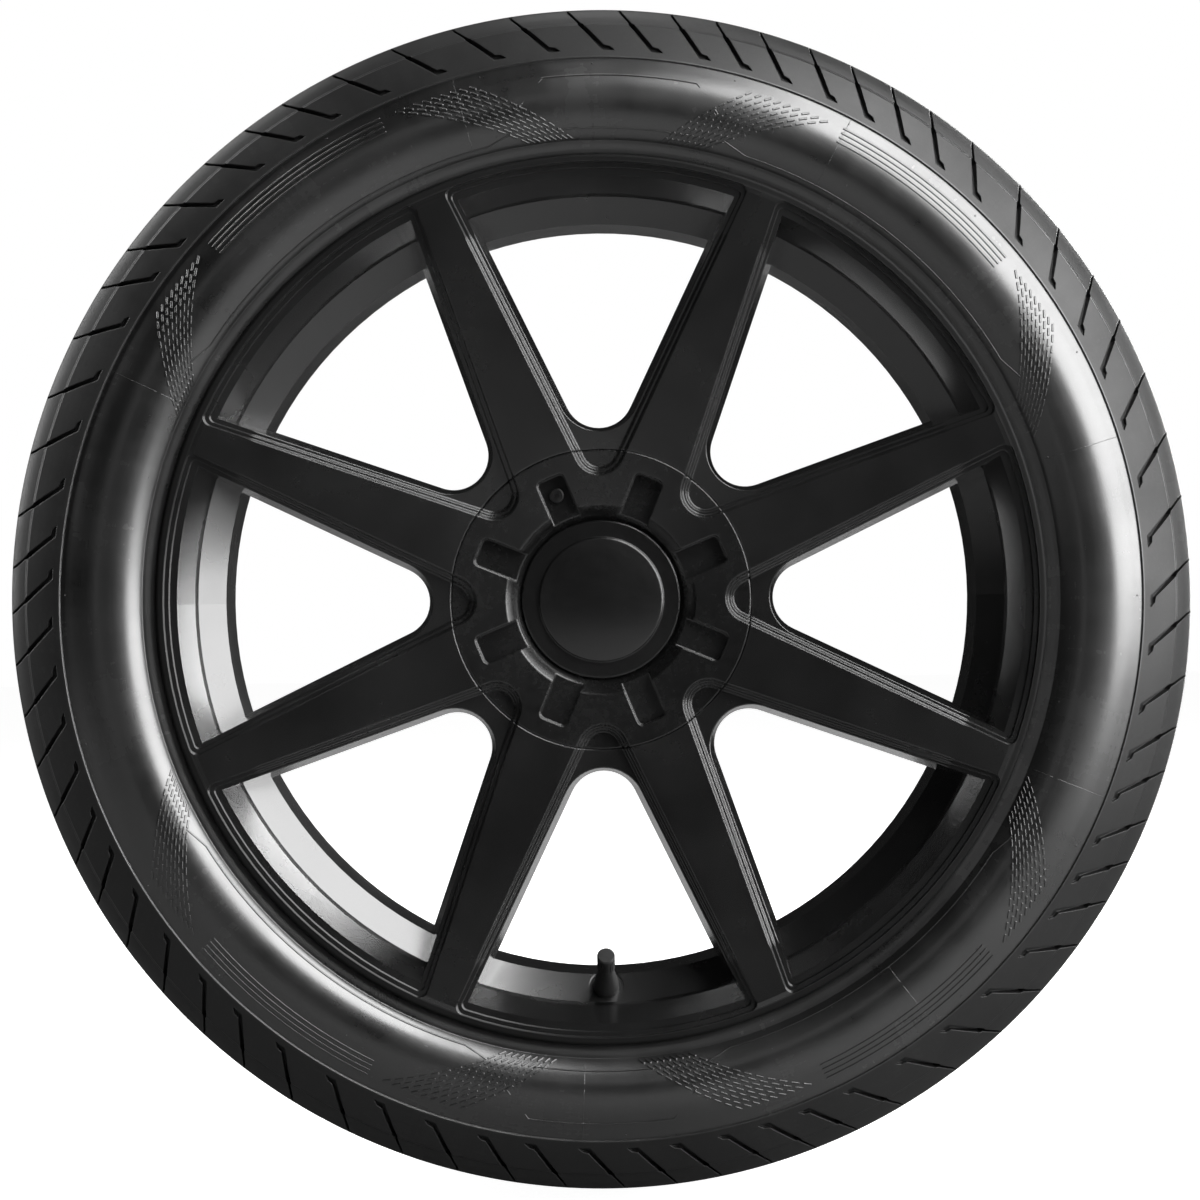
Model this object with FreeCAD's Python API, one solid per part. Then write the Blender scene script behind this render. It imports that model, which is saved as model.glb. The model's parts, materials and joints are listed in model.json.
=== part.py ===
import FreeCAD, Part
import math
import os

from FreeCAD import Placement, Rotation, Vector

# A car wheel with its tyre mounted, in millimetres.
# The axle runs along Y and the outer face looks towards -Y. Z is up and the valve is at the bottom.
# The origin is the wheel's centre, half way between the rim flanges.

# Tyre
tyre_radius = 390.5
tyre_width = 275.0
crown_radius = 520.0
tread_width = 224.0
shoulder_bulge = 1.0
buttress_radius = 345.0
buttress_inset = 8.4
buttress_step = 1.0
widest_radius = 322.0
protector_radius = 293.5
protector_inset = 6.9
protector_bulge = 0.5
protector_foot = 1.4
crown_wall = 17.0
shoulder_wall = 11.5
sidewall_wall = 9.2
bead_seat_width = 15.0
bead_rise = 20.0
bead_slant = 10.0
toe_height = 3.3
toe_slant = 1.5

# Tread
rain_groove_places = (-58.0, -21.0, 21.0, 58.0)
rain_groove_width = 11.0
rain_groove_depth = 7.5
pitch_names = "MSSMSSSMXLLMLXXXMXMSMSSMLLLXMSSMSMLMLLLXLMLLMSMMMMMSMXLXLSLLMSLXXLLM"
pitch_lengths = {"S": 150.0, "M": 172.0, "L": 192.0, "X": 212.0}
slit_width = 2.6
slit_depth = 4.5
slit_slant = 40.0
slit_inner_radius = 350.0
slit_inner_reach = 98.0
first_slit_angle = 2.5

# Rim
rim_diameter = 533.4
rim_width = 241.3
flange_height = 17.8
flange_curl = 8.5
lip_edge = 2.4
lip_flat = 5.5
seat_angle = 5.0
seat_width = 22.0
heel_radius = 6.0
hump_height = 0.9
hump_width = 3.0
rim_wall = 6.1
well_radius = 243.5
well_front = -89.5
well_back = -36.0
well_slope = 55.8
ridge_radius = 261.3
ridge_width = 9.0
ridge_fall = 1.1
barrel_back_radius = 258.0
barrel_back_place = 62.0
mount_gap = 0.3

# Spokes and windows
spoke_count = 8
plateau_hub_place = -114.0
plateau_hub_radius = 97.0
plateau_lip_radius = 276.0
spoke_half_hub = 15.0
spoke_half_lip = 9.7
window_half_hub = 24.0
window_half_lip = 15.4
step_draft = 0.30
window_draft = 0.10
ledge_width = 2.0
first_ledge_hub = 5.0
first_ledge_lip = 2.5
second_ledge_hub = 10.0
second_ledge_lip = 5.0
step_lip_radius = 279.5
ledge_lip_width = 2.6
pocket_corner = 6.0
lip_wall_radius = 271.3
scallop_radius = 74.5
window_end_radius = 106.0
spoke_back_hub = -66.0
spoke_back_lip = -80.0
spoke_slot_start = 130.0
spoke_slot_end = 218.0
spoke_slot_width = 20.0
spoke_slot_depth = 17.0

# Hub
mount_face = -38.0
hub_floor = -70.0
hub_radius = 79.0
hub_flare = 10.0
bore_radius = 33.3
bore_chamfer = 1.5
bolt_circle = 112.0
bolt_count = 5
bolt_hole_radius = 7.5
bolt_seat_radius = 12.5
bolt_seat_depth = 5.0
pad_pocket_radius = 8.0
pad_pocket_depth = 12.0

# Centre cover
cover_gap = 0.5
cover_seat = -98.0
cover_seat_width = 5.0
cover_wall = 2.6
cover_well_radius = 61.0
cap_seat = -98.5
cap_radius = 51.5
cap_hole_radius = 45.0
cover_pocket_out = 85.0
cover_pocket_in = 48.0
cover_pocket_width = 19.0
cover_pocket_corner = 3.5
cover_pocket_floor = -104.0
cap_gap = 0.25
cap_plate = 2.6
dome_radius = 40.0
dome_step = 2.6
dome_rise = 2.4
cap_skirt = 5.0
cap_skirt_wall = 1.8

# Cover screw
screw_circle = 72.7
screw_shank_radius = 2.0
screw_shank_length = 16.0
screw_head_radius = 4.8
screw_head_height = 3.0
screw_head_round = 1.0
screw_socket_width = 3.0
screw_socket_depth = 1.6
screw_gap = 0.15
boss_radius = 6.0
boss_root = 1.0

# Valve, measured along its own axis from the face that it stands on
valve_rise = 7.0
valve_hole_radius = 5.75
valve_face_radius = 11.3
valve_face_depth = 1.2
valve_inner_face_depth = 0.6
valve_gap = 0.15
stem_head_radius = 8.2
stem_head_height = 5.0
stem_head_taper = 1.6
stem_collar_radius = 8.2
stem_collar_height = 3.0
stem_taper_end = 20.0
stem_shoulder_radius = 5.3
stem_neck_radius = 4.7
stem_top = 25.0
tube_radius = 2.9
thread_radius = 3.85
tube_top = 38.0
tube_bore_radius = 1.9
core_seat_depth = 14.0
core_seat_radius = 2.45
core_seat_chamfer = 0.6
core_recess = 1.0
core_gap = 0.05
core_bore_radius = 1.55
core_bridge = 2.0
pin_radius = 0.6
pin_guide_gap = 0.05
pin_collar_radius = 1.3
pin_collar_height = 0.8
pin_top_gap = 0.3
pin_collar_drop = 2.5
spring_wire_radius = 0.16
spring_end_gap = 0.08
spring_turns = 4
spring_turn_steps = 16
seal_radius = 1.7
seal_height = 1.2
cap_start = 26.0
cap_outer_radius = 5.7
cap_inner_gap = 0.2
cap_top_wall = 2.2
cap_seal_height = 1.2
cap_edge = 0.8
cap_rib_count = 18
cap_rib_depth = 0.45
cap_rib_width = 0.7
cap_rib_top_gap = 3.0

AXLE = Vector(0, 1, 0)
ORIGIN = Vector(0, 0, 0)
UP = Vector(0, 0, 1)
BEYOND = 60.0
TINY = 1e-6

flange_place = rim_width / 2
seat_radius = rim_diameter / 2
flange_radius = seat_radius + flange_height
lip_place = flange_place + flange_curl + lip_edge
spoke_angle = 180.0 / spoke_count


def at(y, r):
    """A point of a section: y along the axle, r out from it."""
    return Vector(0, y, r)


def line(start, end):
    return Part.LineSegment(start, end).toShape()


def arc(start, middle, end):
    return Part.Arc(start, middle, end).toShape()


def chain(start, *steps):
    """Edges from start through each step: a point is a line, a pair is an arc's middle and end."""
    edges = []
    here = start
    for step in steps:
        if isinstance(step, tuple):
            edges.append(arc(here, step[0], step[1]))
            here = step[1]
        else:
            edges.append(line(here, step))
            here = step
    return edges


def closed(start, *steps):
    """A closed outline: a line goes back to the start unless the last step ends there."""
    last = steps[-1][1] if isinstance(steps[-1], tuple) else steps[-1]
    back = () if last.isEqual(start, TINY) else (start,)
    return Part.Wire(chain(start, *steps, *back))


def bulged(start, end, height):
    """The middle of an arc that stands height off its chord, on the left of its direction."""
    along = end - start
    left = Vector(0, -along.z, along.y).normalize()
    return (start + end) * 0.5 + left * height


def turned(wire, base=ORIGIN, axis=AXLE):
    return Part.Face(wire).revolve(base, axis, 360)


def around(shape, angle):
    """A copy turned clockwise, as seen from the outer face."""
    copy = shape.copy()
    copy.rotate(ORIGIN, AXLE, angle)
    return copy


def ring_of(shape, count, first=0.0):
    return [around(shape, first + index * 360.0 / count) for index in range(count)]


def quarter(centre, radius, degrees):
    """A point on a circle in the section, with degrees from +Y towards +r."""
    angle = math.radians(degrees)
    return at(centre.y + radius * math.cos(angle), centre.z + radius * math.sin(angle))


# Tyre

def crown(y):
    return tyre_radius - crown_radius + math.sqrt(crown_radius ** 2 - y ** 2)


def seat_at(y):
    """The bead seat's radius at a distance y from the rim's middle."""
    return seat_radius - math.tan(math.radians(seat_angle)) * (flange_place - abs(y))


def tyre_half():
    """The outer half of the tyre's section, from the crown to the bead and back to the inner crown."""
    half = tyre_width / 2
    tread_edge = at(-tread_width / 2, crown(tread_width / 2))
    tread_middle = at(-tread_width / 4, crown(tread_width / 4))
    buttress = at(-half + buttress_inset, buttress_radius + buttress_step)
    below = at(-half + buttress_inset + buttress_step, buttress_radius)
    widest = at(-half, widest_radius)
    protector = at(-half + protector_inset, protector_radius)
    curl_centre = at(-flange_place - flange_curl, flange_radius - flange_curl)
    grip = flange_curl + mount_gap
    foot = at(curl_centre.y - protector_foot, flange_radius + mount_gap + protector_foot)
    over_flange = quarter(curl_centre, grip, 90)
    heel_centre = at(-flange_place + heel_radius, seat_at(flange_place - heel_radius) + heel_radius)
    heel = heel_radius - mount_gap
    toe_place = flange_place - heel_radius - bead_seat_width
    toe = at(-toe_place, seat_at(toe_place) + mount_gap)
    toe_top = at(toe.y + toe_slant, toe.z + toe_height)
    bead_top = at(toe_top.y - bead_slant, toe_top.z + bead_rise)
    inner_widest = at(-half + sidewall_wall, widest_radius)
    inner_buttress = at(below.y + sidewall_wall, buttress_radius)
    inner_shoulder = at(tread_edge.y + shoulder_wall, tread_edge.z - shoulder_wall)
    inner_middle = at(inner_shoulder.y / 2, crown(inner_shoulder.y / 2) - crown_wall)
    return chain(
        at(0, tyre_radius),
        (tread_middle, tread_edge),
        (bulged(tread_edge, buttress, -shoulder_bulge), buttress),
        below,
        (widest, protector),
        (bulged(protector, foot, -protector_bulge), foot),
        over_flange,
        (quarter(curl_centre, grip, 45), quarter(curl_centre, grip, 0)),
        quarter(heel_centre, heel, 180),
        (quarter(heel_centre, heel, 225), quarter(heel_centre, heel, 270)),
        toe,
        toe_top,
        bead_top,
        (inner_widest, inner_buttress),
        (bulged(inner_buttress, inner_shoulder, shoulder_bulge), inner_shoulder),
        (inner_middle, at(0, tyre_radius - crown_wall)),
    )


def rain_groove(y):
    floor = crown(y) - rain_groove_depth
    half = rain_groove_width / 2
    top = tyre_radius + BEYOND
    return turned(closed(at(y - half, top), at(y + half, top), at(y + half, floor), at(y - half, floor)))


def slit_angles():
    lengths = [pitch_lengths[name] for name in pitch_names]
    degree = 360.0 / sum(lengths)
    angle = first_slit_angle
    for length in lengths:
        yield angle
        angle += length * degree


def shoulder_slit():
    """A slab at the top of the tyre that runs along the axle and slants as seen from the outer face."""
    half = tyre_width / 2
    edge = at(-tread_width / 2, crown(tread_width / 2))
    floor_start = at(-slit_inner_reach, crown(slit_inner_reach) - slit_depth)
    floor_corner = at(edge.y + slit_depth, edge.z - slit_depth)
    stretch = 1 / math.cos(math.radians(slit_slant))
    floor_end = at(-half + buttress_inset + slit_depth / 2, edge.z - (edge.z - slit_inner_radius) * stretch)
    outline = closed(
        floor_start,
        floor_corner,
        floor_end,
        at(-half - BEYOND, floor_end.z),
        at(-half - BEYOND, tyre_radius + BEYOND),
        at(-slit_inner_reach, tyre_radius + BEYOND),
    )
    slab = Part.Face(outline).extrude(Vector(slit_width, 0, 0))
    slab.translate(Vector(-slit_width / 2, 0, 0))
    slab.rotate(edge, AXLE, -slit_slant)
    return slab


def tyre():
    outer_half = tyre_half()
    inner_half = [edge.mirror(ORIGIN, AXLE) for edge in outer_half]
    body = turned(Part.Wire(Part.__sortEdges__(outer_half + inner_half)))
    outer_slit = shoulder_slit()
    inner_slit = outer_slit.copy()
    inner_slit.rotate(ORIGIN, UP, 180)
    cuts = [rain_groove(y) for y in rain_groove_places]
    for angle in slit_angles():
        cuts.append(around(outer_slit, angle))
        cuts.append(around(inner_slit, angle))
    return body.cut(cuts)


# Wheel

def plateau(r, hub_drop=0.0, lip_drop=0.0):
    """Where the spokes' front lies at radius r, or a ledge that lies lower by a drop at each end."""
    share = (r - plateau_hub_radius) / (plateau_lip_radius - plateau_hub_radius)
    hub = plateau_hub_place + hub_drop
    lip = -lip_place + lip_drop
    return hub + (lip - hub) * share


def wheel_section():
    curl = flange_radius - flange_curl
    front_curl = at(-flange_place - flange_curl, curl)
    back_curl = at(flange_place + flange_curl, curl)
    heel_radius_at = seat_at(flange_place - heel_radius) + heel_radius
    front_heel = at(-flange_place + heel_radius, heel_radius_at)
    back_heel = at(flange_place - heel_radius, heel_radius_at)
    seat_end = flange_place - seat_width
    hump_end = seat_end - hump_width
    well_outer = well_radius + rim_wall
    back_outer = barrel_back_radius + rim_wall
    fall = math.tan(math.radians(well_slope))
    wall_shift = rim_wall / math.sin(math.radians(well_slope))
    drop_end = well_front + wall_shift - rim_wall / fall
    drop_start = drop_end - (seat_at(hump_end) - hump_height - well_outer) / fall
    flange_round = quarter(at(-lip_place + lip_edge, flange_radius - lip_edge), lip_edge, 135)
    back_round = quarter(at(lip_place - lip_edge, flange_radius - lip_edge), lip_edge, 45)
    spoke_back_out = well_radius - rim_wall
    return closed(
        at(plateau_hub_place, plateau_hub_radius),
        at(-lip_place, plateau_lip_radius),
        at(-lip_place, flange_radius - lip_edge),
        (flange_round, at(-lip_place + lip_edge, flange_radius)),
        (quarter(front_curl, flange_curl, 45), quarter(front_curl, flange_curl, 0)),
        quarter(front_heel, heel_radius, 180),
        (quarter(front_heel, heel_radius, 225), quarter(front_heel, heel_radius, 270)),
        at(-seat_end, seat_at(seat_end)),
        at(-seat_end + hump_width / 2, seat_at(seat_end) + hump_height),
        at(drop_start, seat_at(hump_end) - hump_height),
        at(drop_end, well_outer),
        at(well_back, well_outer),
        at(barrel_back_place, back_outer),
        at(seat_end - hump_width, back_outer),
        at(seat_end - hump_width / 2, seat_at(seat_end) + hump_height),
        at(seat_end, seat_at(seat_end)),
        quarter(back_heel, heel_radius, 270),
        (quarter(back_heel, heel_radius, 315), quarter(back_heel, heel_radius, 0)),
        quarter(back_curl, flange_curl, 180),
        (quarter(back_curl, flange_curl, 135), at(lip_place - lip_edge, flange_radius)),
        (back_round, at(lip_place, flange_radius - lip_edge)),
        at(lip_place, flange_radius - lip_edge - lip_flat),
        at(flange_place, seat_at(flange_place) - rim_wall),
        at(barrel_back_place, barrel_back_radius),
        at(well_back, well_radius),
        at(spoke_back_lip, well_radius),
        at(spoke_back_lip, spoke_back_out),
        at(spoke_back_hub, hub_radius + hub_flare * 2),
        at(spoke_back_hub + hub_flare, hub_radius + hub_flare / 2),
        at(mount_face, hub_radius),
        at(mount_face, bore_radius + bore_chamfer),
        at(mount_face - bore_chamfer, bore_radius),
        at(hub_floor, bore_radius),
        at(hub_floor, plateau_hub_radius - cover_seat_width),
        at(cover_seat, plateau_hub_radius - cover_seat_width),
        at(cover_seat, plateau_hub_radius),
    )


def window_wire(y, half_hub, half_lip, end_radius, draft):
    """One window's outline in the plane y: two straight spoke sides and a round inner end."""
    deeper = draft * (y + lip_place)
    angle = math.radians(spoke_angle)
    along = Vector(math.sin(angle), 0, math.cos(angle))
    across = Vector(-math.cos(angle), 0, math.sin(angle))
    inner = along * plateau_hub_radius + across * (half_hub + deeper)
    outer = along * plateau_lip_radius + across * (half_lip + deeper)
    direction = (outer - inner).normalize()
    inward = Vector(-direction.z, 0, direction.x)
    end = end_radius + deeper
    centre = (inward.dot(inner) - end) / (inward.z - 1)
    radius = centre - end
    touch = Vector(0, 0, centre) - inward * radius
    far = outer + direction * BEYOND
    place = Vector(0, y, 0)
    right = [touch + place, far + place]
    left = [Vector(-point.x, y, point.z) for point in right]
    return closed(right[0], right[1], left[1], left[0], (Vector(0, y, end), right[0]))


def window_loft(half_hub, half_lip, end_radius, draft):
    front = -lip_place - BEYOND / 2
    back = mount_face
    wires = [window_wire(y, half_hub, half_lip, end_radius, draft) for y in (front, back)]
    return Part.makeLoft(wires, True, True)


def step_pocket(offset, hub_drop, lip_drop, lip_radius, corner, grow=0.0):
    """The room in front of one ledge of a window: stepped in by offset, down to the ledge."""
    loft = window_loft(
        spoke_half_hub + offset - grow,
        spoke_half_lip + offset - grow,
        scallop_radius + offset - grow,
        step_draft,
    )
    front = -lip_place - BEYOND
    wall = lip_radius + step_draft * BEYOND
    floor = -lip_place + lip_drop
    room = turned(closed(
        at(front, 0),
        at(front, wall),
        at(floor, lip_radius - step_draft * lip_drop),
        at(plateau(0, hub_drop, lip_drop), 0),
    ))
    pocket = loft.common(room)
    corners = [edge for edge in pocket.Edges if is_lip_corner(edge, lip_radius)]
    return pocket.makeFillet(corner, corners)


def is_lip_corner(edge, lip_radius):
    """True for the two edges where a spoke's side meets the lip's step."""
    ends = [vertex.Point for vertex in edge.Vertexes]
    if len(ends) != 2:
        return False
    radii = [math.hypot(point.x, point.z) for point in ends]
    runs_deep = abs(ends[0].y - ends[1].y) > BEYOND / 4
    return runs_deep and min(radii) > lip_radius - BEYOND / 4


def step_pockets(grow=0.0):
    first = step_pocket(
        0.0, first_ledge_hub + grow, first_ledge_lip, step_lip_radius, pocket_corner, grow)
    second = step_pocket(
        ledge_width, second_ledge_hub + grow, second_ledge_lip,
        step_lip_radius - ledge_lip_width, pocket_corner - ledge_width, grow)
    return first, second


def window():
    """A through opening: it ends on the inside of the rim, with the lip's ridge and the well's wall."""
    loft = window_loft(window_half_hub, window_half_lip, window_end_radius, window_draft)
    fall = math.tan(math.radians(well_slope))
    ridge_back_radius = ridge_radius - ridge_fall
    ridge_back = well_front - (ridge_back_radius - well_radius) / fall
    lip_start = -lip_place + second_ledge_lip
    rim_inside = turned(closed(
        at(-lip_place - BEYOND, 0),
        at(-lip_place - BEYOND, lip_wall_radius),
        at(lip_start, lip_wall_radius),
        at(ridge_back - ridge_width, ridge_radius),
        at(ridge_back, ridge_back_radius),
        at(well_front, well_radius),
        at(mount_face, well_radius),
        at(mount_face, 0),
    ))
    return loft.common(rim_inside)


def spoke_slot():
    """A casting's lightening slot in the back of a spoke, at the top and not yet turned in place."""
    half = spoke_slot_width / 2
    left_top = Vector(-half, mount_face, spoke_slot_end)
    right_top = Vector(half, mount_face, spoke_slot_end)
    right_low = Vector(half, mount_face, spoke_slot_start)
    left_low = Vector(-half, mount_face, spoke_slot_start)
    outline = closed(
        left_low,
        left_top,
        (Vector(0, mount_face, spoke_slot_end + half), right_top),
        right_low,
        (Vector(0, mount_face, spoke_slot_start - half), left_low),
    )
    length = mount_face - spoke_back_hub + spoke_slot_depth
    return Part.Face(outline).extrude(Vector(0, -length, 0))


def bolt_hole():
    """A through hole with a round seat on its outer side."""
    top = Vector(0, hub_floor - BEYOND / 3, bolt_circle / 2)
    hole = Part.makeCylinder(bolt_hole_radius, BEYOND * 1.5, top, AXLE)
    seat_top = Vector(0, hub_floor, bolt_circle / 2)
    seat = Part.makeCone(bolt_seat_radius, bolt_hole_radius, bolt_seat_depth, seat_top, AXLE)
    return hole.fuse(seat)


def pad_pocket():
    """A relief in the mounting face, between two bolt holes."""
    place = Vector(0, mount_face - pad_pocket_depth, bolt_circle / 2)
    return Part.makeCylinder(pad_pocket_radius, pad_pocket_depth * 2, place, AXLE)


def screw_boss():
    """A post on the hub's floor that the cover's screw goes into."""
    foot = Vector(0, hub_floor + boss_root, screw_circle)
    top = cover_pocket_floor + cover_wall + cover_gap
    post = Part.makeCylinder(boss_radius, foot.y - top, foot, -AXLE)
    hole_top = Vector(0, top, screw_circle)
    hole = Part.makeCylinder(screw_shank_radius + screw_gap, screw_shank_length, hole_top, AXLE)
    return around(post.cut(hole), -spoke_angle)


def wheel():
    body = turned(wheel_section())
    first, second = step_pockets()
    cuts = []
    for tool in (first, second, window()):
        cuts += ring_of(tool, spoke_count)
    cuts += ring_of(spoke_slot(), spoke_count, spoke_angle)
    cuts += ring_of(bolt_hole(), bolt_count)
    cuts += ring_of(pad_pocket(), bolt_count, 180.0 / bolt_count)
    cuts += valve_seat()
    return body.cut(cuts).fuse(screw_boss())


# Centre cover

def cover_shape(wall):
    """A solid of the cover's outside, or of its inside where wall is its thickness."""
    outer = plateau_hub_radius - cover_gap - wall
    well_edge = at(plateau(cover_well_radius) + wall, cover_well_radius + wall / 2)
    deep = cover_seat + wall * 2
    return turned(closed(
        at(deep, outer),
        at(plateau(outer) + wall, outer),
        well_edge,
        at(cap_seat + wall, cap_radius + wall / 2),
        at(cap_seat + wall, cap_hole_radius),
        at(deep, cap_hole_radius),
    ))


def cover_pocket(grow=0.0):
    """A rounded pocket in line with a spoke, open towards the cap, at the top and not yet turned."""
    half = cover_pocket_width / 2 + grow
    out = cover_pocket_out + grow
    floor = cover_pocket_floor + grow
    height = floor + lip_place
    block = Part.makeBox(half * 2, height, out - cover_pocket_in, Vector(-half, -lip_place, cover_pocket_in))
    corners = [edge for edge in block.Edges if is_outer_upright(edge, out)]
    return block.makeFillet(cover_pocket_corner + grow, corners)


def is_outer_upright(edge, out):
    ends = [vertex.Point for vertex in edge.Vertexes]
    return all(abs(point.z - out) < TINY for point in ends) and abs(ends[0].y - ends[1].y) > TINY


def centre_cover():
    outside = cover_shape(0.0)
    inside = cover_shape(cover_wall)
    cuts = []
    hollows = []
    for tool in step_pockets():
        cuts += ring_of(tool, spoke_count)
    cuts += ring_of(cover_pocket(), spoke_count, spoke_angle)
    for tool in step_pockets(cover_wall):
        hollows += ring_of(tool, spoke_count)
    hollows += ring_of(cover_pocket(cover_wall), spoke_count, spoke_angle)
    shell = outside.cut(cuts).cut(inside.cut(hollows))
    hole_top = Vector(0, -lip_place, screw_circle)
    hole = Part.makeCylinder(screw_shank_radius + screw_gap * 2, lip_place, hole_top, AXLE)
    return shell.cut(around(hole, -spoke_angle))


def centre_cap():
    """A plate with a raised dome and a skirt that presses into the cover."""
    plate = cap_radius - cap_gap * 2
    seat = cap_seat - cap_gap
    face = seat - cap_plate
    skirt = cap_hole_radius - cap_gap
    dome_edge = face - dome_step
    ball = (dome_radius ** 2 + dome_rise ** 2) / (2 * dome_rise)
    ball_centre = dome_edge - dome_rise + ball
    half_angle = math.asin(dome_radius / ball) / 2
    dome_middle = at(ball_centre - ball * math.cos(half_angle), ball * math.sin(half_angle))
    return turned(closed(
        at(seat, plate),
        at(face, plate),
        at(face, dome_radius),
        at(dome_edge, dome_radius),
        (dome_middle, at(dome_edge - dome_rise, 0)),
        at(seat, 0),
        at(seat, skirt - cap_skirt_wall),
        at(seat + cap_skirt, skirt - cap_skirt_wall),
        at(seat + cap_skirt, skirt),
        at(seat, skirt),
    ))


def cover_screw():
    seat = Vector(0, cover_pocket_floor, screw_circle)
    shank = Part.makeCylinder(screw_shank_radius, screw_shank_length, seat, AXLE)
    head = Part.makeCylinder(screw_head_radius, screw_head_height, seat, -AXLE)
    top = seat - AXLE * screw_head_height
    head = head.makeFillet(screw_head_round, [head.Edges[0]])
    socket_corner = screw_socket_width / math.sqrt(3)
    corners = []
    for side in range(7):
        angle = math.radians(60.0 * side)
        corners.append(top + Vector(math.cos(angle), 0, math.sin(angle)) * socket_corner)
    socket = Part.Face(Part.makePolygon(corners)).extrude(AXLE * screw_socket_depth)
    return around(shank.fuse(head).cut(socket), -spoke_angle)


# Valve

def valve_placement():
    """The valve stands square on the well's front wall, at the bottom of the wheel."""
    slope = math.radians(well_slope)
    base = Vector(0, well_front - valve_rise / math.tan(slope), -well_radius - valve_rise)
    direction = Vector(0, -math.sin(slope), math.cos(slope))
    return Placement(base, Rotation(UP, direction))


def placed(shape):
    shape.Placement = valve_placement().multiply(shape.Placement)
    return shape


def pillar(*corners):
    """A turned piece on the valve's axis, from (radius, height) corners."""
    points = [Vector(radius, 0, height) for radius, height in corners]
    return turned(closed(*points), ORIGIN, UP)


def valve_back():
    """Where the flat ring inside the tyre lies on the valve's axis."""
    return valve_inner_face_depth - rim_wall


def valve_seat():
    """The hole for the valve and the flat rings cut round it, on the outside and inside the tyre."""
    hole = Part.makeCylinder(valve_hole_radius, BEYOND, Vector(0, 0, -BEYOND / 2), UP)
    ring = Part.makeCylinder(valve_face_radius, BEYOND / 3, Vector(0, 0, -valve_face_depth), UP)
    head_room = stem_head_radius + valve_gap * 2
    inner_ring = Part.makeCylinder(head_room, BEYOND / 3, Vector(0, 0, valve_back()), -UP)
    return [placed(hole), placed(ring), placed(inner_ring)]


def valve_stem():
    neck = valve_hole_radius - valve_gap
    back = valve_back() - valve_gap
    front = valve_gap - valve_face_depth
    return placed(pillar(
        (tube_radius + valve_gap, back - stem_head_height),
        (stem_head_radius - stem_head_taper, back - stem_head_height),
        (stem_head_radius, back),
        (neck, back),
        (neck, front),
        (stem_collar_radius, front),
        (stem_collar_radius, stem_collar_height),
        (stem_shoulder_radius, stem_taper_end),
        (stem_neck_radius, stem_top),
        (tube_radius + valve_gap, stem_top),
    ))


def valve_tube():
    back = valve_back() - stem_head_height
    return placed(pillar(
        (tube_bore_radius, back),
        (tube_radius, back),
        (tube_radius, stem_top + valve_gap),
        (thread_radius, stem_top + valve_gap * 2),
        (thread_radius, tube_top),
        (core_seat_radius, tube_top),
        (core_seat_radius, tube_top - core_seat_depth),
        (tube_bore_radius, tube_top - core_seat_depth - core_seat_chamfer),
    ))


def core_top():
    return tube_top - core_recess


def core_bottom():
    return tube_top - core_seat_depth + core_gap


def valve_core_barrel():
    """The core's body: a plain bore for the spring, closed at the foot by a bridge that guides the pin."""
    outer = core_seat_radius - core_gap
    guide = pin_radius + pin_guide_gap
    return placed(pillar(
        (guide, core_bottom()),
        (outer, core_bottom()),
        (outer, core_top()),
        (core_bore_radius, core_top()),
        (core_bore_radius, bridge_top()),
        (guide, bridge_top()),
    ))


def bridge_top():
    return core_bottom() + core_bridge


def pin_collar():
    return core_top() - pin_collar_drop


def seal_top():
    return core_bottom() - core_gap


def valve_core_pin():
    """A pin with a foot under the seal and a collar that the spring lifts."""
    foot = seal_top() - seal_height - pin_collar_height
    collar = pin_collar()
    return placed(pillar(
        (0, foot),
        (pin_collar_radius, foot),
        (pin_collar_radius, foot + pin_collar_height),
        (pin_radius, foot + pin_collar_height),
        (pin_radius, collar),
        (pin_collar_radius, collar),
        (pin_collar_radius, collar + pin_collar_height),
        (pin_radius, collar + pin_collar_height),
        (pin_radius, tube_top - pin_top_gap),
        (0, tube_top - pin_top_gap),
    ))


def valve_core_seal():
    bottom = seal_top() - seal_height
    return placed(pillar(
        (pin_radius + core_gap, bottom + core_gap),
        (seal_radius, bottom + core_gap),
        (seal_radius, seal_top()),
        (pin_radius + core_gap, seal_top()),
    ))


def valve_core_spring():
    """A coil between the bridge of the core and the pin's collar."""
    wire = spring_wire_radius
    low = bridge_top() + wire + spring_end_gap
    high = pin_collar() - wire - spring_end_gap
    coil_radius = (pin_radius + core_bore_radius) / 2
    steps = spring_turns * spring_turn_steps
    points = []
    for step in range(steps + 1):
        turn = 2 * math.pi * step / spring_turn_steps
        rise = low + (high - low) * step / steps
        points.append(Vector(coil_radius * math.cos(turn), coil_radius * math.sin(turn), rise))
    path = Part.BSplineCurve()
    path.interpolate(points)
    section = Part.Wire(Part.makeCircle(wire, points[0], Vector(0, 1, 0)))
    return placed(Part.Wire(path.toShape()).makePipeShell([section], True, True))


def valve_cap():
    inner = thread_radius + cap_inner_gap
    ceiling = tube_top + cap_seal_height + cap_inner_gap
    top = ceiling + cap_top_wall
    body = pillar(
        (inner, cap_start),
        (cap_outer_radius, cap_start),
        (cap_outer_radius, top - cap_edge),
        (cap_outer_radius - cap_edge, top),
        (0, top),
        (0, ceiling),
        (inner, ceiling),
    )
    depth = cap_outer_radius - cap_rib_depth
    height = top - cap_rib_top_gap - cap_start
    groove = Part.makeBox(BEYOND, cap_rib_width, height, Vector(depth, -cap_rib_width / 2, cap_start))
    grooves = []
    for index in range(cap_rib_count):
        copy = groove.copy()
        copy.rotate(ORIGIN, UP, index * 360.0 / cap_rib_count)
        grooves.append(copy)
    return placed(body.cut(grooves))


def valve_cap_seal():
    bottom = tube_top + cap_inner_gap / 2
    return placed(Part.makeCylinder(thread_radius, cap_seal_height, Vector(0, 0, bottom), UP))


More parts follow.
